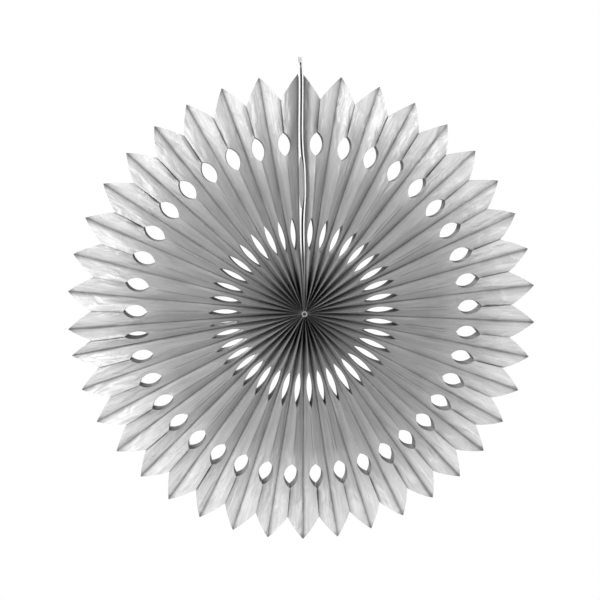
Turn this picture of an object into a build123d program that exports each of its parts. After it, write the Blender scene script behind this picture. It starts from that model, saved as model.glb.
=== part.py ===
from build123d import *
import math
import os

# Paper fan rosette, in millimetres: die-cut tissue leaves glued into a honeycomb and opened round a hub.
# X runs across, Y is the depth with the front at -Y, and Z points up through the closing seam.
# The origin is the middle of the hub.

# Outline of the opened fan
fan_radius = 200.0
petal_length = 21.0
pleat_count = 40
hub_radius = 3.5
hub_bore_radius = 0.75

# Section of one pleat, from the front ridge over the glued valleys to the back ridge
rim_half_depth = 5.0
tip_half_depth = 1.4
glue_land = 0.6
paper_wall = 0.2

# Die-cut openings on every ridge: long lenses round the hub, round lenses near the rim, open rim slits
inner_lens_start = 51.0
inner_lens_length = 30.0
inner_lens_width = 6.0
inner_lens_facets = 3
outer_lens_start = 131.0
outer_lens_length = 21.0
outer_lens_width = 12.0
outer_lens_facets = 4
slit_root_width = 1.4
slit_mouth_width = 0.5

# Two card strips that stand side by side in the seam, with the hanging hole in their heads
card_thickness = 1.2
card_gap = 1.3
card_head = 13.0
card_head_half_width = 7.0
card_shoulder_fillet = 6.0
card_foot_clearance = 0.3
card_foot_half_width = 6.0
card_foot_taper = 55.0
hang_hole_radius = 2.0
hang_hole_drop = 7.0

# Paper pad that joins the strips halfway up, tape over their heads, thread ring that ties the leaves
pad_start = 89.0
pad_length = 42.0
pad_depth = 8.0
pad_thickness = 0.6
tape_thickness = 0.2
tape_drop = 4.5
thread_ring_radius = 2.6
thread_ring_bore = 0.9
thread_ring_height = 1.2
thread_ring_chamfer = 0.4

# Sizes that follow from the ones above
pleat_angle = 360.0 / pleat_count
half_angle = math.radians(pleat_angle / 2)
spread = math.tan(half_angle)
notch_radius = fan_radius - petal_length
leaf_half_width = math.hypot(rim_half_depth, notch_radius * spread)
slot_half = card_gap / 2 + card_thickness
card_top = fan_radius + card_head
inner_lens_end = inner_lens_start + inner_lens_length
outer_lens_end = outer_lens_start + outer_lens_length
slit_length = notch_radius - outer_lens_end

# The leaves are pressed solid as far out as the strips cut across the neighbouring pleats
hollow_start = (slot_half + 2 * paper_wall) / math.sin(2 * half_angle)

# A narrowed pleat beside the seam starts where it is as wide as a plain pleat is at the hub
pleat_root_half_width = hub_radius * math.sin(half_angle)

# Distances from the hub at which the straight runs of a ridge meet
ridge_knees = [
    (hollow_start + inner_lens_start) / 2,
    (inner_lens_end + outer_lens_start) / 2,
    outer_lens_end + slit_length / 5,
]
rim_reach = fan_radius + petal_length / 10


def pleat_halves(reach, inset):
    """Half width and half depth of a pleat at a distance from the hub: a leaf keeps its own width."""
    half_width = reach * spread - inset
    if reach == rim_reach:
        return half_width, tip_half_depth
    return half_width, math.sqrt(leaf_half_width**2 - half_width**2)


def pleat_section(reach, inset):
    """Corners of a pleat's outside: a ridge in front and behind, a glued land on each side."""
    half_width, half_depth = pleat_halves(reach, inset)
    lands = [(reach, y, z) for y in (-half_width, half_width) for z in (-glue_land, glue_land)]
    return lands + [(reach, 0, -half_depth), (reach, 0, half_depth)]


def hollow_section(reach, inset):
    """Corners of the diamond-shaped hollow, one paper wall inside the pleat."""
    half_width, half_depth = pleat_halves(reach, inset)
    slope = math.hypot(half_width, half_depth - glue_land)
    peak = half_depth - paper_wall * slope / half_width
    side = half_width - paper_wall
    return [(reach, -side, 0), (reach, side, 0), (reach, 0, -peak), (reach, 0, peak)]


def lens_outline(start, length, width, facets):
    """Corners of a pointed lens along X, on two arcs that meet at its ends."""
    arc_radius = (length**2 + width**2) / (4 * width)
    arc_half = math.asin(length / (2 * arc_radius))
    sides = []
    for facet in range(facets + 1):
        turn = arc_half * (2 * facet / facets - 1)
        along = start + length / 2 + arc_radius * math.sin(turn)
        sides.append((along, width / 2 - arc_radius * (1 - math.cos(turn))))
    return sides + [(x, -y) for x, y in sides[-2:0:-1]]


def make_pleat(inset):
    """One hollow pleat along X, narrowed and shifted by an inset where it stands beside the seam."""
    root = (pleat_root_half_width + inset) / spread
    hollow_root = hollow_start + inset / spread
    with BuildPart() as pleat:
        outer_stations = [root] + ridge_knees + [rim_reach]
        for near, far in zip(outer_stations, outer_stations[1:]):
            ConvexPolyhedron(pleat_section(near, inset) + pleat_section(far, inset))
        inner_stations = [hollow_root] + ridge_knees + [rim_reach]
        for near, far in zip(inner_stations, inner_stations[1:]):
            hollow_corners = hollow_section(near, inset) + hollow_section(far, inset)
            ConvexPolyhedron(hollow_corners, mode=Mode.SUBTRACT)

        # Lenses, slit and pointed petal edge are punched through the front and back ridges together
        tip_x = fan_radius * math.cos(half_angle)
        tip_y = fan_radius * math.sin(half_angle) - inset
        past_tip = 1 + 2 * (rim_reach - tip_x) / petal_length
        rim_x = notch_radius + (tip_x - notch_radius) * past_tip
        rim_y = tip_y * past_tip
        slit_end = notch_radius + petal_length / 10
        with BuildSketch():
            for lens in (
                (inner_lens_start, inner_lens_length, inner_lens_width, inner_lens_facets),
                (outer_lens_start, outer_lens_length, outer_lens_width, outer_lens_facets),
            ):
                with BuildLine():
                    Polyline(*lens_outline(*lens), close=True)
                make_face()
            slit_start = outer_lens_end - outer_lens_length / 10
            with BuildLine():
                Polyline(
                    (slit_start, -slit_root_width / 2),
                    (slit_end, -slit_mouth_width / 2),
                    (slit_end, slit_mouth_width / 2),
                    (slit_start, slit_root_width / 2),
                    close=True,
                )
            make_face()
            with BuildLine():
                Polyline((notch_radius, 0), (rim_x, -rim_y), (rim_x, rim_y), close=True)
            make_face()
        extrude(amount=leaf_half_width, both=True, mode=Mode.SUBTRACT)
    return pleat.part.moved(Location((0, -inset, 0)))


# Tissue fan: plain pleats all round, and a narrowed one on each side of the seam
seam_angle = 90.0
plain_pleat = make_pleat(0)
seam_pleat = make_pleat(slot_half / (2 * math.cos(half_angle)))

with BuildPart() as seam_pleats:
    with PolarLocations(0, 1, start_angle=seam_angle - pleat_angle / 2):
        add(seam_pleat)
    mirror(about=Plane.YZ)

with BuildPart(Plane.XZ) as tissue_fan:
    with PolarLocations(
        0,
        pleat_count - 2,
        start_angle=seam_angle + 1.5 * pleat_angle,
        angular_range=(pleat_count - 2) * pleat_angle,
    ):
        add(plain_pleat)
    add(seam_pleats.part)
    with BuildSketch(Plane.XZ):
        RegularPolygon(hub_radius, pleat_count)
    extrude(amount=leaf_half_width, both=True)

    # Slot that the card strips stand in, from the hub to past the rim, and the hole through the hub
    with BuildSketch(Plane.XZ):
        with Locations((0, hub_radius)):
            Rectangle(2 * slot_half, card_top, align=(Align.CENTER, Align.MIN))
        Circle(hub_bore_radius)
    extrude(amount=leaf_half_width, both=True, mode=Mode.SUBTRACT)

# Card strips
card_foot = hub_radius + card_foot_clearance
hang_hole_height = card_top - hang_hole_drop


def make_card(side):
    """A card strip beside the seam, on the -X or the +X side, with tapered ends and a hanging hole."""
    inner_face = Plane.YZ.offset(side * card_gap / 2)
    with BuildPart() as card:
        with BuildSketch(inner_face) as outline:
            with BuildLine():
                Polyline(
                    (-card_foot_half_width, card_foot),
                    (card_foot_half_width, card_foot),
                    (leaf_half_width, card_foot + card_foot_taper),
                    (leaf_half_width, fan_radius),
                    (card_head_half_width, card_top),
                    (-card_head_half_width, card_top),
                    (-leaf_half_width, fan_radius),
                    (-leaf_half_width, card_foot + card_foot_taper),
                    close=True,
                )
            make_face()
            shoulders = outline.vertices().group_by(Axis.Y)[-2]
            fillet(shoulders, card_shoulder_fillet)
            with Locations((0, hang_hole_height)):
                Circle(hang_hole_radius, mode=Mode.SUBTRACT)
        extrude(amount=side * card_thickness)
    return card


card_strip_left = make_card(-1)
card_strip_right = make_card(1)

# Closing pad: fills the gap between the strips halfway up, and laps over the left strip's front edge
with BuildPart() as closing_pad:
    with BuildSketch(Plane.XY.offset(pad_start)):
        with BuildLine():
            Polyline(
                (card_gap / 2, pad_depth - leaf_half_width),
                (card_gap / 2, -leaf_half_width - pad_thickness),
                (-slot_half, -leaf_half_width - pad_thickness),
                (-slot_half, -leaf_half_width),
                (-card_gap / 2, -leaf_half_width),
                (-card_gap / 2, pad_depth - leaf_half_width),
                close=True,
            )
        make_face()
    extrude(amount=pad_length)

# Closing tape: over the head of the left strip, then down the gap as the pad that holds the right one
with BuildPart() as closing_tape:
    with BuildSketch(Plane.XZ):
        with BuildLine():
            Polyline(
                (-slot_half - tape_thickness, card_top - tape_drop),
                (-slot_half, card_top - tape_drop),
                (-slot_half, card_top),
                (-card_gap / 2, card_top),
                (-card_gap / 2, card_top - tape_drop),
                (card_gap / 2, card_top - tape_drop),
                (card_gap / 2, card_top + tape_thickness),
                (-slot_half - tape_thickness, card_top + tape_thickness),
                close=True,
            )
        make_face()
    extrude(amount=card_head_half_width, both=True)

# Thread ring, drawn from ridge to ridge and seated on the front face of the hub
with BuildPart() as centre_thread:
    with BuildSketch(Plane.XZ.offset(leaf_half_width)):
        RegularPolygon(thread_ring_radius, pleat_count)
        RegularPolygon(thread_ring_bore, pleat_count, mode=Mode.SUBTRACT)
    extrude(amount=thread_ring_height)
    front_rims = centre_thread.faces().sort_by(Axis.Y)[0].edges()
    chamfer(front_rims, thread_ring_chamfer)

# One file per piece
os.makedirs("parts", exist_ok=True)
for piece, name in (
    (tissue_fan, "tissue_fan"),
    (card_strip_left, "card_strip_left"),
    (card_strip_right, "card_strip_right"),
    (closing_pad, "closing_pad"),
    (closing_tape, "closing_tape"),
    (centre_thread, "centre_thread"),
):
    piece.part.label = name
    export_step(piece.part, f"parts/{name}.step")
    print(name, len(piece.part.solids()), "solid", round(piece.part.volume, 1), "mm3")
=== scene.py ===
# %% [markdown]
# # A paper fan rosette, dressed for its portrait
# The fan is a honeycomb of silver-grey tissue, opened through a full turn round a small hub. Two white
# card strips close it at the top. The solids of the part are already made, in metres, and this lesson
# builds the thin paper over them: pleats, punched lenses, pointed petals, thread and card, then the light
# and the camera.

import math

import bmesh
import bpy
from mathutils import Matrix, Vector


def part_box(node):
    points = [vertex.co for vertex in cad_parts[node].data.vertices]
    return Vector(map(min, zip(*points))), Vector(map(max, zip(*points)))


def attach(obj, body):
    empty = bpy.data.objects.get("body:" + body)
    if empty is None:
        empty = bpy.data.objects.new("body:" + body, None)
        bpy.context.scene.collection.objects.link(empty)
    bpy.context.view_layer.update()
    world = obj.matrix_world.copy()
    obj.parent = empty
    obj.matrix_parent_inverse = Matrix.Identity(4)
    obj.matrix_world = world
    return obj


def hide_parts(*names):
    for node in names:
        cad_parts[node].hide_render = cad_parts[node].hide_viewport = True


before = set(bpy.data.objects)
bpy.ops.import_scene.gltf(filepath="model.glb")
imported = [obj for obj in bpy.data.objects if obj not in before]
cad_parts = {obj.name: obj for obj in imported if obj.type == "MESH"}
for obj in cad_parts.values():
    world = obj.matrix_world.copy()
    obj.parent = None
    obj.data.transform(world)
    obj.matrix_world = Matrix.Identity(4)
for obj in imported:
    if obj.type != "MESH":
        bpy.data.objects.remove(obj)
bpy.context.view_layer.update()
MM = 0.001
print("nodes", sorted(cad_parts))

# %% [markdown]
# ## Sizes
# Every size comes from the solids or from the few die-cut sizes of the real leaf. The tissue's box gives
# the fan's radius and the leaf's width. The strips' boxes give the slot they stand in. The rest is how
# the leaf was punched: where its lenses start, how long and how wide they are, and how far its petals
# reach past the notches.

# %% Sizes in millimetres
fan_low, fan_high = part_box("tissue_fan")
left_low, left_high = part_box("card_strip_left")
right_low, right_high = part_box("card_strip_right")

FAN_RADIUS = fan_high[0] / MM
LEAF_HALF_WIDTH = fan_high[1] / MM
SLOT_HALF = right_high[0] / MM
CARD_GAP_HALF = right_low[0] / MM
PLEATS = 40
PETAL_LENGTH = 21.0
NOTCH_RADIUS = FAN_RADIUS - PETAL_LENGTH
HUB_EDGE = 1.0
GLUE_LAND = 0.8
INNER_LENS = {"start": 51.4, "length": 29.8, "width": 5.5}
OUTER_LENS = {"start": 131.4, "length": 21.1, "width": 11.7}
TISSUE_THICKNESS = 0.05
WELD_DISTANCE = 0.02
# The right strip bows out where the pad pushes the strips apart
SEAM_BOW = 1.9
BOW_HEIGHT = 110.0
BOW_SPREAD = 22.0
# The seam leans to the left between the hub and the head
SEAM_LEAN = 1.1
LEAN_FOOT = (25.0, 66.0)
LEAN_HEAD = (138.0, 198.0)
# The strips are worn thin on the inside, and close up between these heights near the hub
CARD_WEAR = 0.17
FOOT_END = 1.5
FOOT_CLOSED = 22.0
FOOT_OPEN = 56.0
print("fan radius", round(FAN_RADIUS, 1), "mm, leaf half width", round(LEAF_HALF_WIDTH, 2), "mm")
print("seam slot half", round(SLOT_HALF, 2), "mm")

# %% [markdown]
# ## Formulas in a node tree
# The shape of a pleat is a formula, and so is the shade on its paper, but a tree full of Math nodes is
# hard to read. This small class wraps a socket, so that plain Python signs add the Math nodes. The
# formulas below then look like formulas. It serves the tree of the shape and the trees of the finishes.

# %% A field that can be added and multiplied
class Field:
    """One value in a node tree, of a shape or of a finish."""

    def __init__(self, tree, source):
        self.tree = tree
        self.source = source

    def maths(self, operation, *others):
        node = self.tree.nodes.new("ShaderNodeMath")
        node.operation = operation
        for socket, value in zip(node.inputs, (self, *others)):
            if isinstance(value, Field):
                self.tree.links.new(value.source, socket)
            else:
                socket.default_value = value
        return Field(self.tree, node.outputs[0])

    def __add__(self, other):
        return self.maths("ADD", other)

    def __sub__(self, other):
        return self.maths("SUBTRACT", other)

    def __mul__(self, other):
        return self.maths("MULTIPLY", other)

    def __truediv__(self, other):
        return self.maths("DIVIDE", other)

    __radd__ = __add__
    __rmul__ = __mul__

    def __rsub__(self, other):
        return (self * -1.0) + other

    def sine(self):
        return self.maths("SINE")

    def cosine(self):
        return self.maths("COSINE")

    def root(self):
        return self.maths("SQRT")

    def power(self, exponent):
        return self.maths("POWER", exponent)

    def least(self, other):
        return self.maths("MINIMUM", other)

    def most(self, other):
        return self.maths("MAXIMUM", other)

    def size(self):
        return self.maths("ABSOLUTE")

    def whole(self):
        return self.maths("FLOOR")

    def rest(self, divisor):
        return self.maths("FLOORED_MODULO", divisor)

    def above(self, threshold):
        return self.maths("GREATER_THAN", threshold)

    def ramp(self, start, end):
        """0 before start, 1 after end, straight between them."""
        return ((self - start) / (end - start)).most(0.0).least(1.0)

    def smooth(self):
        """Eases a straight ramp at both its ends."""
        return self * self * (3.0 - self * 2.0)

    def mapped(self, start, end, low, high):
        """Low before start, high after end, smooth between them."""
        node = self.tree.nodes.new("ShaderNodeMapRange")
        node.interpolation_type = "SMOOTHSTEP"
        for name, number in (("From Min", start), ("From Max", end), ("To Min", low), ("To Max", high)):
            node.inputs[name].default_value = number
        self.tree.links.new(self.source, node.inputs["Value"])
        return Field(self.tree, node.outputs["Result"])

    def towards(self, other, share):
        """This value where the share is 0, the other one where it is 1."""
        return self + (other - self) * share


# %% [markdown]
# ## The tissue leaves
# On the real fan every leaf is glued to one neighbour along its middle and to the other along both edges.
# Opened, each pair of leaves is a hollow pleat: a ridge in front, a ridge behind, and a glued valley on
# each side. The punched lenses sit on the ridges, so each of a pleat's four panels is a plain grid whose
# ridge side simply follows the cut. That is why the fan is a node tree of grids, bent by one formula, and
# not a solid with holes cut in it: the lens edges stay smooth, and every leaf keeps its own width as it
# twists from hub to rim.

# %% The tree's named inputs
def add_inputs(tree, sizes):
    """Adds one float input per named size and returns them as fields."""
    for name, value in sizes.items():
        socket = tree.interface.new_socket(name, in_out="INPUT", socket_type="NodeSocketFloat")
        socket.default_value = value
    group_input = tree.nodes.new("NodeGroupInput")
    return {name: Field(tree, group_input.outputs[name]) for name in sizes}


def set_inputs(modifier, sizes):
    """Sets the modifier's inputs by the identifiers of their sockets."""
    for item in modifier.node_group.interface.items_tree:
        if item.item_type == "SOCKET" and item.in_out == "INPUT" and item.name in sizes:
            modifier[item.identifier] = sizes[item.name]


fan_sizes = {
    "Fan Radius": FAN_RADIUS,
    "Notch Radius": NOTCH_RADIUS,
    "Leaf Half Width": LEAF_HALF_WIDTH,
    "Hub Edge": HUB_EDGE,
    "Glue Land": GLUE_LAND,
    "Seam Slot Half": SLOT_HALF + TISSUE_THICKNESS,
    "Inner Lens Start": INNER_LENS["start"],
    "Inner Lens Length": INNER_LENS["length"],
    "Inner Lens Width": INNER_LENS["width"],
    "Outer Lens Start": OUTER_LENS["start"],
    "Outer Lens Length": OUTER_LENS["length"],
    "Outer Lens Width": OUTER_LENS["width"],
    "Lens Drift": 2.2,
    "Lens Oval": 0.45,
    "Slit Half Width": 0.5,
    "Petal Bulge": 0.4,
    "Seam Bow": SEAM_BOW,
    "Seam Lean": SEAM_LEAN,
    "Foot Closing": CARD_GAP_HALF + CARD_WEAR,
    "Arch": 0.75,
    "Valley Gap": 0.06,
    "Crinkle": 0.8,
    "Slit Curl": 1.6,
    "Tip Bend": 1.6,
    "Hub Stray": 4.0,
    "Seed": 7.0,
}
print("fan tree", len(fan_sizes), "named inputs")

# %% [markdown]
# ## Chance and slack
# No two pleats of a real fan are alike, because it is opened by hand: some are wide, and one on the left
# is pinched. Points could be moved one by one, but a curve of pushes round the fan and a few random
# numbers with a fixed seed do it for every pleat, and give the same fan on each run.

# %% Random numbers, noise and the uneven opening
ROWS = 35
COLUMNS = 8
PANELS = 4 * PLEATS
UNEVEN_LIMIT = 4.0
# Where the pleats really lie: degrees round from the seam, and how far each is pushed on from its even
# place. The pleats are wider near the top, and one pleat on the left is pinched.
UNEVEN_OPENING = [
    (0, 0.0), (18, 1.4), (45, 2.7), (90, 3.7), (135, 2.6), (180, 1.0), (225, 0.6),
    (261, -0.4), (270, -3.0), (315, -1.9), (346, -1.0), (360, 0.0),
]
largest_push = max(abs(push) for at, push in UNEVEN_OPENING)
print(PANELS, "panels of", ROWS * COLUMNS, "faces, pushed by up to", largest_push, "degrees")


def random_of(tree, value, seed):
    """A random number from 0 to 1 for each value."""
    node = tree.nodes.new("ShaderNodeTexWhiteNoise")
    node.noise_dimensions = "2D"
    joined = tree.nodes.new("ShaderNodeCombineXYZ")
    tree.links.new(value.source, joined.inputs["X"])
    tree.links.new(seed.source, joined.inputs["Y"])
    tree.links.new(joined.outputs[0], node.inputs["Vector"])
    return Field(tree, node.outputs["Value"])


def noise_of(tree, x, y, z, scale, detail):
    """Smooth noise from -1 to 1 at the given place."""
    node = tree.nodes.new("ShaderNodeTexNoise")
    node.inputs["Scale"].default_value = scale
    node.inputs["Detail"].default_value = detail
    joined = tree.nodes.new("ShaderNodeCombineXYZ")
    for name, value in zip("XYZ", (x, y, z)):
        tree.links.new(value.source, joined.inputs[name])
    tree.links.new(joined.outputs[0], node.inputs["Vector"])
    return Field(tree, node.outputs["Fac"]) * 2.0 - 1.0


def uneven(tree, angle):
    """How many degrees a line at this even angle is pushed round."""
    node = tree.nodes.new("ShaderNodeFloatCurve")
    curve = node.mapping.curves[0]
    places = [(at / 360, 0.5 + push / (2 * UNEVEN_LIMIT)) for at, push in UNEVEN_OPENING]
    curve.points[0].location = places[0]
    curve.points[1].location = places[-1]
    for place in places[1:-1]:
        curve.points.new(*place)
    for point in curve.points:
        point.handle_type = "VECTOR"
    node.mapping.update()
    tree.links.new((angle / 360.0).source, node.inputs["Value"])
    return (Field(tree, node.outputs[0]) - 0.5) * (2 * UNEVEN_LIMIT)


# %% [markdown]
# ## One panel as a formula
# A panel runs from the glued valley to the ridge, and from the hub to the rim. Drawn by hand it would
# take thousands of points, and every change of a lens would mean moving them. As a formula, each lens and
# slit only takes its share of the panel's width off the ridge side, and the leaf's fixed width gives the
# depth of the pleat.

# %% Lenses, slit and rows
PLEAT_STEP = 360.0 / PLEATS
# The rows at which the inner and the outer lens start and end
LENS_ROWS = (5, 15, 19, 28)
# Towards this angle the lenses start farther out and are narrower, and the outer ones drift less
DRIFT_ANGLE = 325.0
OUTER_DRIFT = 0.35
WIDTH_DRIFT = 0.15
# The inner lenses are wider beside the seam, and the outer ones wider in front than behind
SEAM_WIDER = 0.6
FRONT_WIDER = 0.45


def lens_sizes(size, even_ridge, layer):
    """Start, length and width of a pleat's inner and outer lens, which drift a little round the fan."""
    turn = (even_ridge - DRIFT_ANGLE) * math.radians(1)
    drift = turn.cosine() * size["Lens Drift"]
    oval = (turn * 2.0).cosine() * size["Lens Oval"]
    at_seam = (even_ridge - 180.0).size().ramp(180.0 - PLEAT_STEP, 180.0 - PLEAT_STEP / 2)
    inner = (
        size["Inner Lens Start"] + drift,
        size["Inner Lens Length"] - drift,
        size["Inner Lens Width"] - drift * WIDTH_DRIFT - oval + at_seam * SEAM_WIDER,
    )
    outer = (
        size["Outer Lens Start"] + drift * OUTER_DRIFT,
        size["Outer Lens Length"] - drift * OUTER_DRIFT,
        size["Outer Lens Width"] - drift * WIDTH_DRIFT - layer * FRONT_WIDER,
    )
    return inner, outer


def lens_half_width(reach, start, length, width):
    """Half width of a pointed lens at a distance from the hub, between two arcs."""
    arc = (length * length + width * width) / (width * 4.0)
    along = reach - (start + length * 0.5)
    inside = (arc * arc - along * along).most(0.0).root()
    return (inside - arc + width * 0.5).most(0.0)


def slit_cut(tree, reach, pleat, layer, size):
    """Half width of the slit, how open it is, and how far along it a place is from lens to notch."""
    root = size["Outer Lens Start"] + size["Outer Lens Length"]
    gape = random_of(tree, pleat, size["Seed"] + 1.0).power(3.0) * 1.2 + 0.15
    gape = gape * (0.55 - layer * 0.45)
    run = (reach - (root - 0.5)) / (size["Notch Radius"] - root)
    opened = reach.ramp(root - 1.0, root + 1.0)
    half_width = size["Slit Half Width"] * gape * (1.2 - run).most(0.2) * opened
    return half_width, opened, run


def reach_of_row(along, across, size, inner_start, outer_start):
    """Distance from the hub for a row: dense at the lenses, and out to the petal's pointed edge."""
    inner_end = size["Inner Lens Start"] + size["Inner Lens Length"]
    outer_end = size["Outer Lens Start"] + size["Outer Lens Length"]
    reach = size["Hub Edge"]
    last = size["Hub Edge"]
    place = 0.0
    for row, distance in zip(LENS_ROWS, (inner_start, inner_end, outer_start, outer_end)):
        reach = reach + (distance - last) * along.ramp(place, row / ROWS)
        place = row / ROWS
        last = distance
    petal = size["Fan Radius"] - size["Notch Radius"]
    bulge = across * (1.0 - across) * 4.0
    rim = size["Notch Radius"] + petal * (1.0 - across) + bulge * size["Petal Bulge"]
    return reach + (rim - last) * along.ramp(place, 1.0)


# %% The seam, held open by the card strips
# Heights above the hub, in millimetres, between which the strips' feet start to push the paper aside
SEAM_FOOT = (2.0, 4.0)


def seam_opening(x, z, even_turn, size):
    """Moves a place beside the seam out of the strips' way, and gives 1 on the right and -1 on the left."""
    from_seam = even_turn.least(360.0 - even_turn)
    right = 1.0 - even_turn.above(180.0) * 2.0
    opened = z.ramp(FOOT_CLOSED, FOOT_OPEN).smooth()
    slot = size["Seam Slot Half"] - size["Foot Closing"] * (1.0 - opened)
    lean_share = z.ramp(*LEAN_FOOT).smooth() * (1.0 - z.ramp(*LEAN_HEAD).smooth())
    slot = slot - size["Seam Lean"] * lean_share * right
    push = slot * (1.0 - from_seam / (2 * PLEAT_STEP)).most(0.0)
    bow = size["Seam Bow"] / (((z - BOW_HEIGHT) / BOW_SPREAD).power(4.0) + 1.0) * (right * 0.5 + 0.5)
    held = (slot + bow) * z.ramp(*SEAM_FOOT) * (1.0 - from_seam.ramp(60.0, 90.0))
    free = from_seam.above(90.0) * (2 * FAN_RADIUS)
    return (x * right + push).most(held - free) * right, right


# %% The place of a point, and what its finish needs to know
# Distances from the hub, in millimetres, between which each of these sets in or fades
SUNK_RIDGES = (12.0, 45.0)
STRAY_RIDGES = (18.0, 60.0)
LOOSE_PAPER = (20.0, 175.0)
HALF_PETALS = (115.0, 158.0)
ARCHED_PANELS = (118.0, 140.0)
BENT_TIPS = (155.0, 200.0)
# A pleat stays at least this deep, however wide it is pulled
LEAST_DEPTH = 6.0
# The middle of the side that the lamps light least, where painted light lifts the valleys
SHADED_ANGLE = 215.0


def panel_place(tree, along, across, panel, size):
    """The place in millimetres of a point on one of a pleat's four panels, and facts for its finish."""
    seed = size["Seed"]
    pleat = (panel / 4.0).whole()
    side = panel.rest(2.0) * 2.0 - 1.0
    layer = panel.rest(4.0).above(1.5) * 2.0 - 1.0
    even_ridge = (pleat + 0.5) * PLEAT_STEP
    even_valley = even_ridge + side * (PLEAT_STEP / 2)
    ridge = even_ridge + uneven(tree, even_ridge)
    valley = even_valley + uneven(tree, even_valley)
    half_pitch = (ridge - valley).size() * math.radians(1)
    pinch = half_pitch / math.radians(PLEAT_STEP / 2)

    # The first column is the glued land, the others run from the valley to the ridge or the cut
    land = 1 / COLUMNS
    on_land = across.ramp(0.0, land)
    spread = across.ramp(land, 1.0)
    spread = spread - (spread * math.tau).sine() * (0.5 / math.tau)

    # Lenses and slit take their share of the panel's width off its ridge side
    inner_lens, outer_lens = lens_sizes(size, even_ridge, layer)
    reach = reach_of_row(along, spread, size, inner_lens[0], outer_lens[0])
    lens = lens_half_width(reach, *inner_lens).most(lens_half_width(reach, *outer_lens))
    slit, slit_open, slit_run = slit_cut(tree, reach, pleat, layer, size)
    squeeze = pinch.least(pinch.power(-1.0))
    cut = lens.most(slit) * squeeze / (reach * math.tan(math.radians(PLEAT_STEP / 2)))
    part = spread * (1.0 - cut)

    # A leaf keeps its width, so a wide pleat is shallow and a narrow one deep
    width = reach * half_pitch
    leaf = size["Leaf Half Width"]
    depth = (leaf * leaf - width * width).most(LEAST_DEPTH**2).root()
    sunk = 0.06 + 0.2 * (1.0 - reach.ramp(*SUNK_RIDGES))
    depth = depth * (1.0 - sunk * random_of(tree, pleat, seed + 2.0))
    arch = 1.0 - (1.0 - part).power(2.1)
    section = part.towards(arch, size["Arch"] * reach.ramp(*ARCHED_PANELS))
    valley_mark = (even_valley / PLEAT_STEP + 0.5).whole().rest(PLEATS)
    away_from_seam = valley_mark.above(0.5)
    pasted = size["Glue Land"] + (depth * 0.62 - size["Glue Land"]) * (1.0 - away_from_seam)
    height = pasted * on_land + (depth - pasted) * section

    # Soft crinkles between the creases, slit edges that curl in, and petal tips that bend a little
    loose = reach.ramp(*LOOSE_PAPER).power(2.0) * 0.85 + 0.15
    wave = noise_of(tree, reach * 0.045, part * 1.2, panel * 3.7 + seed, 1.0, 2.0)
    height = height + wave * size["Crinkle"] * loose * part * (1.0 - part) * 4.0
    tucked = 0.6 - side * 0.4
    curl = size["Slit Curl"] * (random_of(tree, panel, seed + 5.0) + 0.4) * slit_open * tucked
    height = height - curl * spread.ramp(0.7, 1.0).power(2.0)
    bend = (random_of(tree, valley_mark, seed + 3.0) * 2.0 - 1.0) * size["Tip Bend"]
    lean = bend * reach.ramp(*BENT_TIPS).power(2.0) * (1.0 - part)

    # Round the hub, where the ridges stray a little, and aside at the seam
    at_hub = 1.0 - reach.ramp(*STRAY_RIDGES)
    stray = (random_of(tree, pleat, seed + 4.0) - 0.5) * size["Hub Stray"] * at_hub
    turn = (valley + (ridge + stray - valley) * part) * math.radians(1)
    turn = turn - side * size["Valley Gap"] * (1.0 - part) / reach
    even_turn = even_valley + (even_ridge - even_valley) * part
    z = reach * turn.cosine()
    x, right = seam_opening(reach * turn.sine(), z, even_turn, size)
    y = layer * height + lean

    # Painted shadow of the strips on the half petals beside them, darker on the left one at the seam, on
    # the right one at its ridge
    left_half = part.ramp(0.28, 0.78)
    right_half = (1.0 - part) * 0.6
    beside_strip = left_half.towards(right_half, right * 0.5 + 0.5)
    facts = {
        "reach": reach,
        "part": part,
        "across": part * width,
        "from_slit": (1.0 - spread) * width,
        "slit_shade": slit_open * tucked * (1.2 - slit_run * 0.6),
        "at_lens": lens.ramp(0.0, 0.5),
        "panel_mark": panel * 31.0,
        "panel_tone": random_of(tree, panel, seed + 6.0) * 0.1 + 0.95,
        "upright": (even_turn * math.radians(2)).cosine(),
        "lower_left": ((even_turn - SHADED_ANGLE) * math.radians(1)).cosine(),
        "seam_shade": beside_strip.most(away_from_seam).most(1.0 - reach.ramp(*HALF_PETALS)),
    }
    return (x, y, z), facts


# %% [markdown]
# ## The tree itself
# A line of points, one for each panel, carries a flat grid on every point. The grids are made real, each
# point gets its facts and its place from the formula, and the edges that meet are welded. One tree bends
# all the panels, so a change of one named input changes the whole fan.

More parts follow.
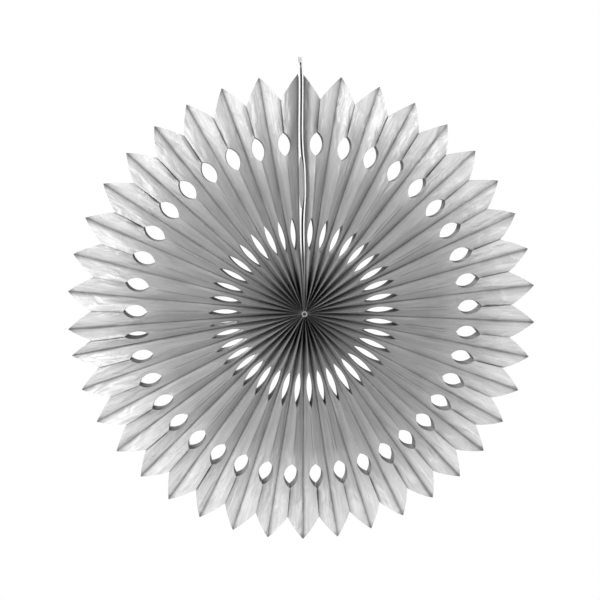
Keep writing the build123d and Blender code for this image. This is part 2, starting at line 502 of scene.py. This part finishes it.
# %% The tree that bends the grids into the fan
def build_fan_tree(material):
    tree = bpy.data.node_groups.new("Tissue fan", "GeometryNodeTree")
    tree.is_modifier = True
    size = add_inputs(tree, fan_sizes)
    tree.interface.new_socket("Fan", in_out="OUTPUT", socket_type="NodeSocketGeometry")
    nodes, links = tree.nodes, tree.links

    line = nodes.new("GeometryNodeMeshLine")
    line.inputs["Count"].default_value = PANELS
    line.inputs["Offset"].default_value = (0, 0, 0)
    number = nodes.new("GeometryNodeStoreNamedAttribute")
    number.data_type = "INT"
    number.inputs["Name"].default_value = "panel"
    links.new(line.outputs["Mesh"], number.inputs["Geometry"])
    links.new(nodes.new("GeometryNodeInputIndex").outputs[0], number.inputs["Value"])
    grid = nodes.new("GeometryNodeMeshGrid")
    grid.inputs["Size X"].default_value = 1.0
    grid.inputs["Size Y"].default_value = 1.0
    grid.inputs["Vertices X"].default_value = COLUMNS + 1
    grid.inputs["Vertices Y"].default_value = ROWS + 1
    scatter = nodes.new("GeometryNodeInstanceOnPoints")
    links.new(number.outputs["Geometry"], scatter.inputs["Points"])
    links.new(grid.outputs["Mesh"], scatter.inputs["Instance"])
    realize = nodes.new("GeometryNodeRealizeInstances")
    links.new(scatter.outputs["Instances"], realize.inputs["Geometry"])

    place = nodes.new("ShaderNodeSeparateXYZ")
    links.new(nodes.new("GeometryNodeInputPosition").outputs[0], place.inputs[0])
    across = Field(tree, place.outputs["X"]) + 0.5
    along = Field(tree, place.outputs["Y"]) + 0.5
    stored = nodes.new("GeometryNodeInputNamedAttribute")
    stored.data_type = "INT"
    stored.inputs["Name"].default_value = "panel"
    panel = Field(tree, stored.outputs["Attribute"])
    (x, y, z), facts = panel_place(tree, along, across, panel, size)

    # The facts are kept before the points move, because they are worked out from the flat grid. They sit on
    # the corners of the faces, so that two panels welded along a crease don't mix theirs.
    geometry = realize.outputs["Geometry"]
    for name, kept in facts.items():
        keep = nodes.new("GeometryNodeStoreNamedAttribute")
        keep.data_type = "FLOAT"
        keep.domain = "CORNER"
        keep.inputs["Name"].default_value = name
        links.new(geometry, keep.inputs["Geometry"])
        links.new(kept.source, keep.inputs["Value"])
        geometry = keep.outputs["Geometry"]
    keep_place = nodes.new("ShaderNodeCombineXYZ")
    for name, value in zip("XYZ", (x, y, z)):
        links.new((value * MM).source, keep_place.inputs[name])
    move = nodes.new("GeometryNodeSetPosition")
    links.new(geometry, move.inputs["Geometry"])
    links.new(keep_place.outputs[0], move.inputs["Position"])

    # Two of the four panels are mirror images, so their faces are turned to look outwards
    flip = nodes.new("GeometryNodeFlipFaces")
    mirrored = (panel.rest(4.0) - 1.5).size().above(1.0)
    links.new(move.outputs["Geometry"], flip.inputs["Mesh"])
    links.new(mirrored.source, flip.inputs["Selection"])
    weld = nodes.new("GeometryNodeMergeByDistance")
    weld.inputs["Distance"].default_value = WELD_DISTANCE * MM
    links.new(flip.outputs["Mesh"], weld.inputs["Geometry"])
    smooth = nodes.new("GeometryNodeSetShadeSmooth")
    links.new(weld.outputs["Geometry"], smooth.inputs["Geometry"])
    last_realize = nodes.new("GeometryNodeRealizeInstances")
    links.new(smooth.outputs["Geometry"], last_realize.inputs["Geometry"])
    finish = nodes.new("GeometryNodeSetMaterial")
    finish.inputs["Material"].default_value = material
    links.new(last_realize.outputs["Geometry"], finish.inputs["Geometry"])
    links.new(finish.outputs["Geometry"], nodes.new("NodeGroupOutput").inputs["Fan"])
    return tree


# %% [markdown]
# ## Paper finishes
# Tissue has a soft sheen and is faintly mottled, with a fibre grain that only shows up close. A picture
# of paper could be wrapped round each piece, but it would blur and repeat. The fibres and the mottle are
# one shader group with named inputs instead, because the card, the tape and the thread use it too, with
# other values. It reads Object coordinates, so the grain stays put whichever way the piece is seen.

# %% The fibre group
def build_fibre_group():
    group = bpy.data.node_groups.new("Paper fibres", "ShaderNodeTree")
    for name in ("Fibre Scale", "Mottle Scale", "Mottle Strength"):
        group.interface.new_socket(name, in_out="INPUT", socket_type="NodeSocketFloat")
    for name in ("Tone", "Height"):
        group.interface.new_socket(name, in_out="OUTPUT", socket_type="NodeSocketFloat")
    inputs = group.nodes.new("NodeGroupInput")
    outputs = group.nodes.new("NodeGroupOutput")
    place = group.nodes.new("ShaderNodeTexCoord")
    grains = {}
    for name, detail in (("Fibre Scale", 3.0), ("Mottle Scale", 4.0)):
        noise = group.nodes.new("ShaderNodeTexNoise")
        noise.inputs["Detail"].default_value = detail
        group.links.new(place.outputs["Object"], noise.inputs["Vector"])
        group.links.new(inputs.outputs[name], noise.inputs["Scale"])
        grains[name] = Field(group, noise.outputs["Fac"])
    strength = Field(group, inputs.outputs["Mottle Strength"])
    tone = (grains["Mottle Scale"] - 0.5) * strength + 1.0
    group.links.new(tone.source, outputs.inputs["Tone"])
    group.links.new(grains["Fibre Scale"].source, outputs.inputs["Height"])
    return group


FIBRES = build_fibre_group()
print("fibre group", len(FIBRES.nodes), "nodes")


# %% What every paper finish shares
def start_material(name, fibre_scale, mottle_scale, mottle_strength):
    """A new material with its shader, its node tree, and the tone and the height of its fibres."""
    material = bpy.data.materials.new(name)
    material.use_nodes = True
    tree = material.node_tree
    fibres = tree.nodes.new("ShaderNodeGroup")
    fibres.node_tree = FIBRES
    fibres.inputs["Fibre Scale"].default_value = fibre_scale
    fibres.inputs["Mottle Scale"].default_value = mottle_scale
    fibres.inputs["Mottle Strength"].default_value = mottle_strength
    return material, tree, Field(tree, fibres.outputs["Tone"]), Field(tree, fibres.outputs["Height"])


def set_surface(tree, tone, colour, roughness, sheen):
    """A colour made lighter and darker by a tone, with a roughness and a sheen."""
    shader = tree.nodes["Principled BSDF"]
    tint = tree.nodes.new("ShaderNodeVectorMath")
    tint.operation = "SCALE"
    tint.inputs[0].default_value = colour
    tree.links.new(tone.source, tint.inputs["Scale"])
    tree.links.new(tint.outputs[0], shader.inputs["Base Color"])
    shader.inputs["Roughness"].default_value = roughness
    shader.inputs["Specular IOR Level"].default_value = sheen


def add_reliefs(tree, reliefs):
    """Bumps from the finest to the coarsest, each with its height, strength and depth in millimetres."""
    normal = None
    for height, strength, depth in reliefs:
        bump = tree.nodes.new("ShaderNodeBump")
        bump.inputs["Strength"].default_value = strength
        bump.inputs["Distance"].default_value = depth * MM
        tree.links.new(height.source, bump.inputs["Height"])
        if normal:
            tree.links.new(normal, bump.inputs["Normal"])
        normal = bump.outputs["Normal"]
    tree.links.new(normal, tree.nodes["Principled BSDF"].inputs["Normal"])


# %% [markdown]
# ## The tissue's tones, with painted light and shade
# On the real fan the crowded pleats round the hub look dark and the petals pale, and each glued valley,
# slit and punched edge has a thin shade beside it. Lamps alone don't give all of that, because real tissue
# scatters light inside itself. So the finish paints that light and shade into the paper's colour: painted
# shade round the hub, along the valleys, beside the slits and round the lenses, and painted light on the
# petals and in some valleys. It reads the facts that the fan's tree kept on the paper: how far a place is
# from the hub, from the valley and from the cut. Each painted shade is then one line of sums.

# %% The painted tone along the leaf
# Painted tone by distance from the hub: painted shade on the crowded pleats there, painted light on the
# petals
PAINTED_TONES_ALONG_LEAF = [
    (3, 0.95), (6, 0.45), (12, 0.29), (22, 0.28), (36, 0.32), (52, 0.36), (118, 0.37),
    (150, 0.47), (172, 0.645), (194, 0.69), (199, 0.42),
]


def fact(tree, name):
    """A value that the fan's tree kept on the corners of its faces."""
    node = tree.nodes.new("ShaderNodeAttribute")
    node.attribute_name = name
    return Field(tree, node.outputs["Fac"])


def painted_leaf_tone(tree):
    """The painted tone along the leaf, before the other painted shades."""
    ramp = tree.nodes.new("ShaderNodeValToRGB")
    stops = ramp.color_ramp.elements
    for number, (distance, tone) in enumerate(PAINTED_TONES_ALONG_LEAF):
        stop = stops[number] if number < 2 else stops.new(distance / FAN_RADIUS)
        stop.position = distance / FAN_RADIUS
        stop.color = (tone, tone, tone, 1)
    tree.links.new((fact(tree, "reach") / FAN_RADIUS).source, ramp.inputs["Fac"])
    return Field(tree, ramp.outputs["Color"])


# %% Painted shades at the cuts, the ridges and the valleys
def cut_shade(tree, slit_share):
    """The share of the tone left by the painted shade beside the slits and round the lenses."""
    from_slit = fact(tree, "from_slit")
    soft = from_slit.mapped(0.0, 5.5, 0.42, 0.0)
    sharp = from_slit.mapped(0.0, 1.3, 0.25, 0.0)
    slit = (soft + sharp) * fact(tree, "slit_shade") * slit_share
    lens = from_slit.mapped(0.1, 1.1, 0.35, 0.0) * fact(tree, "at_lens")
    return (1.0 - slit) * (1.0 - lens)


def ridge_crease_shade(tree):
    """A thin painted shade line beside about half the ridges, between the two rings of lenses."""
    from_slit = fact(tree, "from_slit")
    reach = fact(tree, "reach")
    line = from_slit.mapped(0.5, 1.1, 0.0, 1.0) * from_slit.mapped(1.1, 1.9, 1.0, 0.0)
    between_lenses = reach.mapped(80.0, 92.0, 0.0, 1.0) * reach.mapped(116.0, 130.0, 1.0, 0.0)
    some_panels = fact(tree, "panel_tone").mapped(0.99, 1.0, 1.0, 0.0)
    return 1.0 - line * between_lenses * some_panels * 0.4


def valley_shade(tree):
    """The share of the tone left towards the valley by painted shade. A negative darkening is painted
    light.
    """
    reach = fact(tree, "reach")
    part = fact(tree, "part")
    # Painted shade in the hub's grooves, strongest at the top and the bottom, where the side lamps light
    # them least
    hub = reach.mapped(20.0, 43.0, 1.0, 0.0) * fact(tree, "upright").mapped(-1.0, 1.0, 0.0, 1.0)
    # Painted light in the valleys, from about 30 to 110 millimetres from the hub
    painted_valley_light = reach.mapped(28.0, 48.0, 0.0, -0.45) * reach.mapped(84.0, 110.0, 1.0, 0.0)
    # Painted light in the valleys on the side that the lamps light least
    far_from_lamps = fact(tree, "lower_left").mapped(0.3, 0.95, 0.0, -0.32)
    painted_light_on_shaded_side = far_from_lamps * reach.mapped(56.0, 80.0, 0.0, 1.0) * reach.mapped(160.0, 182.0, 1.0, 0.0)
    # Painted shade towards the petals' valleys, and a thin painted shade line along their middles
    petal_side = reach.mapped(135.0, 172.0, 0.0, 0.18)
    petal_line = reach.mapped(150.0, 166.0, 0.0, 0.32)
    # A thin painted shade along each glued valley
    shade = fact(tree, "across").mapped(0.1, 1.2, 0.66, 1.0)
    for darkening, near, far in (
        (hub, 0.3, 1.0),
        (painted_valley_light, 0.0, 0.5),
        (painted_light_on_shaded_side, 0.0, 0.5),
        (petal_side, 0.0, 0.5),
        (petal_line, 0.02, 0.2),
    ):
        shade = shade * (1.0 - darkening * part.mapped(near, far, 1.0, 0.0))
    return shade


def tissue_tone(tree, slit_share):
    """The paper's tone with all its painted light and shade, a little different from panel to panel, and
    with the painted shadow of the strips.
    """
    tone = painted_leaf_tone(tree) * cut_shade(tree, slit_share) * valley_shade(tree) * ridge_crease_shade(tree)
    return tone * fact(tree, "panel_tone") * fact(tree, "seam_shade").mapped(0.0, 1.0, 0.56, 1.0)


# %% Crinkles drawn out along the leaf
def leaf_noise(tree, along, across, detail):
    """Noise that is drawn out along the leaf and differs from panel to panel, from -0.5 to 0.5."""
    place = tree.nodes.new("ShaderNodeCombineXYZ")
    tree.links.new((fact(tree, "reach") * along).source, place.inputs["X"])
    tree.links.new((fact(tree, "across") * across).source, place.inputs["Y"])
    tree.links.new(fact(tree, "panel_mark").source, place.inputs["Z"])
    noise = tree.nodes.new("ShaderNodeTexNoise")
    for name, value in (("Scale", 1.0), ("Detail", detail), ("Roughness", 0.5), ("Distortion", 0.4)):
        noise.inputs[name].default_value = value
    tree.links.new(place.outputs[0], noise.inputs["Vector"])
    return Field(tree, noise.outputs["Fac"]) - 0.5


def leaf_crinkles(tree):
    """Soft waves and creases in patches with a painted pale highlight, stronger on the loose petals, and
    fine streaks all along.
    """
    loose = fact(tree, "reach").mapped(90.0, 170.0, 0.25, 1.0) * fact(tree, "seam_shade")
    waves = leaf_noise(tree, 0.055, 0.145, 1.2) * loose
    crease = leaf_noise(tree, 0.07, 0.2, 2.5).size().mapped(0.0, 0.045, 1.0, 0.0)
    patch = leaf_noise(tree, 0.035, 0.09, 0.0).mapped(-0.02, 0.14, 0.0, 1.0)
    streaks = leaf_noise(tree, 0.03, 0.75, 2.5)
    return waves, crease * patch * loose, streaks


# %% [markdown]
# ## Tissue, card, tape and thread
# Inside a pleat the light bounces from leaf to leaf, so the inner faces get a copy of the tissue with
# painted light, without the painted shade of the slits. The card is white, with painted shade towards the
# hub, where it stands deep between the pleats. The tape, the pad, the thread and the pasted faces of the
# card are plain greys that differ in roughness and grain, so one function makes them all. The pasted
# faces' grey is partly the tissue pasted on them and partly painted shade in the gap between the strips.

# %% The materials
LIGHTEST = 0.9
# The card gets painted shade below these heights, in metres, where it stands deep between the pleats
SHADED_FOOT = (0.044, 0.064)


def make_tissue(name, painted_lightness, slit_share):
    """Tissue brightened by painted light where the painted lightness is above 1, with a share of the
    painted shade beside the slits.
    """
    material, tree, fibre_tone, fibre_height = start_material(name, 700.0, 45.0, 0.10)
    waves, creases, streaks = leaf_crinkles(tree)
    tone = tissue_tone(tree, slit_share) * fibre_tone
    # The waves also lighten and darken the colour, painted light and shade of the crinkles, and the creases
    # add painted pale highlights. The streaks are fine light and dark lines in the tone.
    for pattern, gain in ((waves, 0.18), (creases, 0.10), (streaks, 0.55)):
        tone = tone * (pattern * gain + 1.0)
    set_surface(tree, (tone * painted_lightness).least(LIGHTEST), (1.0, 1.0, 1.0), 0.4, 1.0)
    add_reliefs(tree, [(fibre_height, 0.3, 0.4), (waves + creases * 0.06, 0.8, 4.0)])
    return material


def make_plain_paper(name, colour, roughness, fibre_scale, bump, foot_shade=1.0):
    """Plain paper or thread, which may have painted shade towards the hub."""
    material, tree, fibre_tone, fibre_height = start_material(name, fibre_scale, 120.0, 0.12)
    place = tree.nodes.new("ShaderNodeSeparateXYZ")
    tree.links.new(tree.nodes.new("ShaderNodeTexCoord").outputs["Object"], place.inputs[0])
    # Painted shade on the card's foot, deep between the pleats
    foot = Field(tree, place.outputs["Z"]).mapped(*SHADED_FOOT, foot_shade, 1.0)
    set_surface(tree, fibre_tone * foot, colour, roughness, 0.3)
    add_reliefs(tree, [(fibre_height, bump, 0.3)])
    return material


TISSUE = make_tissue("Silver tissue", 1.0, 1.0)
# The inner faces are painted 2.6 times lighter, painted light for what bounces inside the pleats
INSIDE_WITH_PAINTED_LIGHT = make_tissue("Silver tissue, inside, painted lighter", 2.6, 0.0)
CARD = make_plain_paper("White card", (0.88, 0.88, 0.87), 0.75, 1400.0, 0.4, foot_shade=0.28)
TAPE = make_plain_paper("Paper tape", (0.62, 0.62, 0.62), 0.6, 1100.0, 0.3)
PAD = make_plain_paper("Grey paper pad", (0.32, 0.32, 0.32), 0.6, 500.0, 0.5)
THREAD = make_plain_paper("Grey thread", (0.36, 0.36, 0.36), 0.8, 2600.0, 0.6)
# Grey of the tissue pasted on, and painted shade on the faces in the gap between the strips
PASTED_GREY_AND_SHADE = make_plain_paper("Pasted card face, painted shade", (0.22, 0.22, 0.22), 0.7, 900.0, 0.3)
print("materials", [m.name for m in (TISSUE, INSIDE_WITH_PAINTED_LIGHT, CARD, TAPE, PAD, THREAD, PASTED_GREY_AND_SHADE)])

# %% [markdown]
# ## From the tree to a plain mesh
# The tree's result is taken as a plain mesh, because instances are dropped when the model is handed on.
# Both faces of the tissue could be drawn by hand, but Solidify adds the wall evenly and gives the inner
# faces the second material. Creases sharper than the angle below stay crisp, and the rest of the paper
# is smooth.

# %% Bend, weld and thicken the paper
SHARP_ANGLE = math.radians(28)


def make_fan():
    start = bpy.data.meshes.new("tissue_start")
    for material in (TISSUE, INSIDE_WITH_PAINTED_LIGHT):
        start.materials.append(material)
    holder = bpy.data.objects.new("tissue_leaves", start)
    bpy.context.scene.collection.objects.link(holder)
    shape = holder.modifiers.new("Tissue fan", "NODES")
    shape.node_group = build_fan_tree(TISSUE)
    set_inputs(shape, fan_sizes)
    wall = holder.modifiers.new("Paper thickness", "SOLIDIFY")
    wall.thickness = TISSUE_THICKNESS * MM
    wall.offset = -1.0
    wall.material_offset = 1
    evaluated = holder.evaluated_get(bpy.context.evaluated_depsgraph_get())
    mesh = bpy.data.meshes.new_from_object(evaluated)
    holder.modifiers.clear()
    holder.data = mesh
    mesh.name = "tissue_leaves"
    # The tree hands back only its own material, so the inner faces' one is put beside it
    if len(mesh.materials) < 2:
        mesh.materials.append(INSIDE_WITH_PAINTED_LIGHT)
    mesh.set_sharp_from_angle(angle=SHARP_ANGLE)
    return holder


fan = make_fan()
triangles = sum(len(face.vertices) - 2 for face in fan.data.polygons)
print("tissue leaves", len(fan.data.vertices), "points", triangles, "triangles")
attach(fan, "root")
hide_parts("tissue_fan")

# %% [markdown]
# ## Card strips, pad, tape and thread
# Two strips of white card are pasted to the first and the last leaf and stand side by side in the seam.
# Only their cut edges and the outer faces of their heads show white: the faces on the leaves are pasted
# over, so they are grey, and the faces in the gap between the strips are grey with painted shade. Each
# strip could be drawn anew, but a merged copy of its solid keeps its hole and its tapers. The copy is
# sliced along its length, so that it can bow where the pad pushes the strips apart.

# %% Bowed card strips
SLICES = 40
MERGE_DISTANCE = 0.01
WORN_HEAD = (194.0, 206.0)
PASTED_BELOW_TIPS = 4.0
FLAT_FACE = 0.7


def merged_copy(node, name):
    """A new piece with a merged copy of a solid's mesh."""
    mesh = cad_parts[node].data.copy()
    mesh.name = name
    mesh.materials.clear()
    work = bmesh.new()
    work.from_mesh(mesh)
    bmesh.ops.remove_doubles(work, verts=work.verts, dist=MERGE_DISTANCE * MM)
    return mesh, work


def add_piece(mesh, name):
    piece = bpy.data.objects.new(name, mesh)
    bpy.context.scene.collection.objects.link(piece)
    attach(piece, "root")
    return piece


def smooth_step(value, start, end):
    """0 before start, 1 after end, smooth between them."""
    share = min(max((value - start) / (end - start), 0.0), 1.0)
    return share * share * (3.0 - 2.0 * share)


def bow_at(height):
    """How far the right strip bows out, in millimetres."""
    return SEAM_BOW / (((height - BOW_HEIGHT) / BOW_SPREAD) ** 4 + 1.0)


def lean_at(height):
    """How far both strips lean to the left, in millimetres."""
    return SEAM_LEAN * smooth_step(height, *LEAN_FOOT) * (1.0 - smooth_step(height, *LEAN_HEAD))


def card_place(x, height):
    """Where a point of a strip ends up: worn thin, closed up at the foot, bowed beside the pad, leaning."""
    side = math.copysign(1.0, x)
    out = abs(x)
    gap = CARD_GAP_HALF + CARD_WEAR * (1.0 - smooth_step(height, *WORN_HEAD))
    if out < (CARD_GAP_HALF + SLOT_HALF) / 2:
        out = gap
    out = out - gap * (1.0 - smooth_step(height, FOOT_CLOSED, FOOT_OPEN))
    if side > 0:
        out = out + bow_at(height)
    return side * out - lean_at(height)


def make_strip(node, name, low, high, side):
    mesh, work = merged_copy(node, name)
    for cut in range(1, SLICES):
        height = low[2] + (high[2] - low[2]) * cut / SLICES
        everything = work.verts[:] + work.edges[:] + work.faces[:]
        bmesh.ops.bisect_plane(work, geom=everything, plane_co=(0, 0, height), plane_no=(0, 0, 1))
    for face in work.faces:
        # Faces pasted to the leaves take the tissue's grey; faces looking into the gap between the strips
        # take it as painted shade
        between_strips = face.normal.x * side < -FLAT_FACE
        on_leaf = face.calc_center_median().z < fan_high[2] - PASTED_BELOW_TIPS * MM
        pasted = abs(face.normal.x) > FLAT_FACE and (between_strips or on_leaf)
        face.material_index = 1 if pasted else 0
    for vertex in work.verts:
        vertex.co.x = card_place(vertex.co.x / MM, vertex.co.z / MM) * MM
        if vertex.co.z < low[2] + 0.5 * MM:
            vertex.co.z = FOOT_END * MM
    work.to_mesh(mesh)
    work.free()
    mesh.materials.append(CARD)
    mesh.materials.append(PASTED_GREY_AND_SHADE)
    piece = add_piece(mesh, name)
    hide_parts(node)
    print(name, len(mesh.polygons), "faces")


make_strip("card_strip_left", "left_strip", left_low, left_high, -1)
make_strip("card_strip_right", "right_strip", right_low, right_high, 1)

# %% [markdown]
# ## The pad between the strips
# The grey paper pad that holds the strips together swells out of the seam and hides the left strip's
# edge. It is a thin sheet, so it is a small grid that follows the bowed strip, with a wall added by
# Solidify.

# %% Swollen paper pad
def make_pad():
    low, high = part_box("closing_pad")
    rows = 28
    columns = 10
    # Reach to the left and right at its ends, swelling, and depth, all in millimetres
    left_end = 0.6
    right_end = 0.55
    left_swell = 1.4
    front_swell = 0.5
    fold_depth = 0.25
    inset = 0.45
    mesh = bpy.data.meshes.new("seam_pad")
    work = bmesh.new()
    points = []
    for row in range(rows + 1):
        up = row / rows
        height = low[2] + (high[2] - low[2]) * up
        swell = math.sin(math.pi * up) ** 0.5
        lean = lean_at(height / MM)
        left = -left_end - left_swell * swell - lean
        right = right_end + bow_at(height / MM) * swell - lean
        line = []
        for column in range(columns + 1):
            over = column / columns
            x = left + (right - left) * over
            fold = fold_depth * math.sin(9.0 * up + 5.0 * over)
            y = low[1] / MM + inset - (front_swell + fold) * math.sin(math.pi * over) * swell
            line.append(work.verts.new((x * MM, y * MM, height)))
        points.append(line)
    for below, above in zip(points, points[1:]):
        for a, b, c, d in zip(below, below[1:], above[1:], above):
            work.faces.new((a, b, c, d))
    work.to_mesh(mesh)
    work.free()
    mesh.materials.append(PAD)
    mesh.shade_smooth()
    pad = add_piece(mesh, "seam_pad")
    wall = pad.modifiers.new("Paper thickness", "SOLIDIFY")
    wall.thickness = 0.25 * MM
    wall.offset = -1.0
    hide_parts("closing_pad")
    print("pad", round((high[2] - low[2]) / MM), "mm long")


make_pad()

# %% [markdown]
# ## Tape over the heads, thread at the hub
# The pale tape is folded over the head of the left strip and the gap. The strips' heads taper, so the
# tape is a hood with the same taper, a hair wider. The thread at the hub is a ring of three twisted
# yarns. Each yarn is a tube whose middle runs round the ring and round the other two, so one loop makes
# them all.

# %% Taped head
def make_tape():
    low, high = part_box("closing_tape")
    slope = (left_high[1] - high[1]) / (left_high[2] - fan_high[2])
    margin = 0.25 * MM
    mesh = bpy.data.meshes.new("head_tape")
    work = bmesh.new()
    rows = 6
    rings = []
    for row in range(rows + 1):
        height = low[2] + (high[2] - low[2]) * row / rows
        depth = high[1] + (left_high[2] - min(height, left_high[2])) * slope + margin
        corners = [(low[0], -depth), (high[0], -depth), (high[0], depth), (low[0], depth)]
        rings.append([work.verts.new((x, y, height)) for x, y in corners])
    for below, above in zip(rings, rings[1:]):
        for corner in range(4):
            after = (corner + 1) % 4
            work.faces.new((below[corner], below[after], above[after], above[corner]))
    work.faces.new(rings[-1])
    work.to_mesh(mesh)
    work.free()
    mesh.materials.append(TAPE)
    tape = add_piece(mesh, "head_tape")
    wall = tape.modifiers.new("Tape thickness", "SOLIDIFY")
    wall.thickness = 0.12 * MM
    wall.offset = -1.0
    round_edge = tape.modifiers.new("Soft folds", "BEVEL")
    round_edge.width = 0.5 * MM
    round_edge.segments = 3
    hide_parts("closing_tape")
    print("tape", round((high[2] - low[2]) / MM, 1), "mm high")


make_tape()


# %% Twisted thread ring
def make_thread():
    low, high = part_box("centre_thread")
    yarns = 3
    twists = 9
    stations = 144
    sides = 8
    thick = (high[1] - low[1]) / 2
    yarn = thick * 0.62
    wander = thick * 0.6
    ring = high[0] - 2 * yarn
    middle = (low[1] + high[1]) / 2
    mesh = bpy.data.meshes.new("thread_ring")
    work = bmesh.new()
    for number in range(yarns):
        loops = []
        for station in range(stations):
            turn = math.tau * station / stations
            wind = twists * turn + math.tau * number / yarns
            out = ring + wander * math.cos(wind)
            depth = middle + (thick - yarn) * math.sin(wind)
            loop = []
            for corner in range(sides):
                around = math.tau * corner / sides
                reach = out + yarn * math.cos(around)
                place = (reach * math.sin(turn), depth + yarn * math.sin(around), reach * math.cos(turn))
                loop.append(work.verts.new(place))
            loops.append(loop)
        for loop, following in zip(loops, loops[1:] + loops[:1]):
            for corner in range(sides):
                after = (corner + 1) % sides
                work.faces.new((loop[corner], loop[after], following[after], following[corner]))
    bmesh.ops.recalc_face_normals(work, faces=work.faces)
    work.to_mesh(mesh)
    work.free()
    mesh.materials.append(THREAD)
    mesh.shade_smooth()
    thread = add_piece(mesh, "thread_ring")
    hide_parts("centre_thread")
    print("thread ring", yarns, "yarns", len(mesh.polygons), "faces")


make_thread()

# %% [markdown]
# ## Light and floor
# The photograph is lit softly from the camera's side, stronger from the upper left, and weaker light from
# both sides keeps the valleys from going black. One large lamp could do it, but several square ones let
# each side be set by itself. The lamp behind serves the views of the back. A small pale floor lies below
# the fan, out of the picture, and the world is white only to the camera, so that the light on the paper
# stays at a plain level.

# %% Floor, world and lamps
def add_floor():
    half = 0.55
    height = -0.62
    mesh = bpy.data.meshes.new("floor")
    corners = [(-half, -half, height), (half, -half, height), (half, half, height), (-half, half, height)]
    mesh.from_pydata(corners, [], [(0, 1, 2, 3)])
    floor = bpy.data.objects.new("floor", mesh)
    bpy.context.scene.collection.objects.link(floor)
    material = bpy.data.materials.new("Pale floor")
    material.use_nodes = True
    shader = material.node_tree.nodes["Principled BSDF"]
    shader.inputs["Base Color"].default_value = (0.85, 0.85, 0.85, 1)
    shader.inputs["Roughness"].default_value = 0.8
    mesh.materials.append(material)


def set_world(level):
    world = bpy.data.worlds.new("Studio")
    bpy.context.scene.world = world
    world.use_nodes = True
    nodes, links = world.node_tree.nodes, world.node_tree.links
    light = nodes["Background"]
    light.inputs["Color"].default_value = (1, 1, 1, 1)
    light.inputs["Strength"].default_value = level
    seen = nodes.new("ShaderNodeBackground")
    seen.inputs["Color"].default_value = (1, 1, 1, 1)
    seen.inputs["Strength"].default_value = 1.0
    path = nodes.new("ShaderNodeLightPath")
    choice = nodes.new("ShaderNodeMixShader")
    links.new(path.outputs["Is Camera Ray"], choice.inputs[0])
    links.new(light.outputs[0], choice.inputs[1])
    links.new(seen.outputs[0], choice.inputs[2])
    links.new(choice.outputs[0], nodes["World Output"].inputs["Surface"])


def add_lamp(name, place, size, watts):
    """A square soft lamp that points at the hub."""
    light = bpy.data.lights.new(name, "AREA")
    light.shape = "SQUARE"
    light.size = size
    light.energy = watts
    lamp = bpy.data.objects.new(name, light)
    lamp.location = place
    lamp.rotation_euler = (-Vector(place)).to_track_quat("-Z", "Y").to_euler()
    bpy.context.scene.collection.objects.link(lamp)


WORLD_LEVEL = 0.27
# Each lamp's name, place in metres, width in metres and watts
LAMPS = [
    ("key_lamp", (-0.6, -1.0, 0.62), 0.4, 8.6),
    ("front_lamp", (-0.14, -1.65, 0.28), 0.7, 6.8),
    ("left_lamp", (-1.2, -0.6, -0.1), 0.5, 4.4),
    ("right_lamp", (1.1, -0.7, -0.55), 0.5, 5.8),
    ("back_lamp", (-0.5, 1.4, 0.5), 0.6, 16.0),
]
add_floor()
set_world(WORLD_LEVEL)
for lamp_settings in LAMPS:
    add_lamp(*lamp_settings)
print("lamps", [lamp_settings[0] for lamp_settings in LAMPS])

# %% [markdown]
# ## Camera
# The photograph looks at the fan almost straight on, from a little above and to the left. The camera
# stands at that angle, aims at the front of the hub and is rolled a hair. A small shift, and not a turn,
# brings the hub to its place in the picture, so the angle stays the photograph's own.

# %% Camera at the photograph's viewing angle
IMAGE = 600
FOCAL_PIXELS = 1128.0
HUB_PIXEL = (304.6, 314.0)
CAMERA_DISTANCE = 0.95
CAMERA_TILT = math.radians(7.4)
CAMERA_SIDE = math.radians(-25.5)
CAMERA_ROLL = math.radians(0.85)


def add_camera():
    data = bpy.data.cameras.new("camera")
    data.sensor_width = 36.0
    data.lens = FOCAL_PIXELS / IMAGE * data.sensor_width
    data.shift_x = -(HUB_PIXEL[0] - IMAGE / 2) / IMAGE
    data.shift_y = (HUB_PIXEL[1] - IMAGE / 2) / IMAGE
    hub_front = Vector((0, fan_low[1], 0))
    away = Vector((
        math.sin(CAMERA_SIDE) * math.sin(CAMERA_TILT),
        -math.cos(CAMERA_TILT),
        math.cos(CAMERA_SIDE) * math.sin(CAMERA_TILT),
    ))
    camera = bpy.data.objects.new("camera", data)
    aim = (-away).to_track_quat("-Z", "Y").to_matrix().to_4x4()
    stand = Matrix.Translation(hub_front + away * CAMERA_DISTANCE)
    roll = Matrix.Rotation(-CAMERA_ROLL, 4, "Z")
    camera.matrix_world = stand @ aim @ roll
    bpy.context.scene.collection.objects.link(camera)
    bpy.context.scene.camera = camera
    print("camera", round(data.lens, 1), "mm lens,", CAMERA_DISTANCE, "m away")


add_camera()
bpy.context.scene.view_settings.view_transform = "Standard"
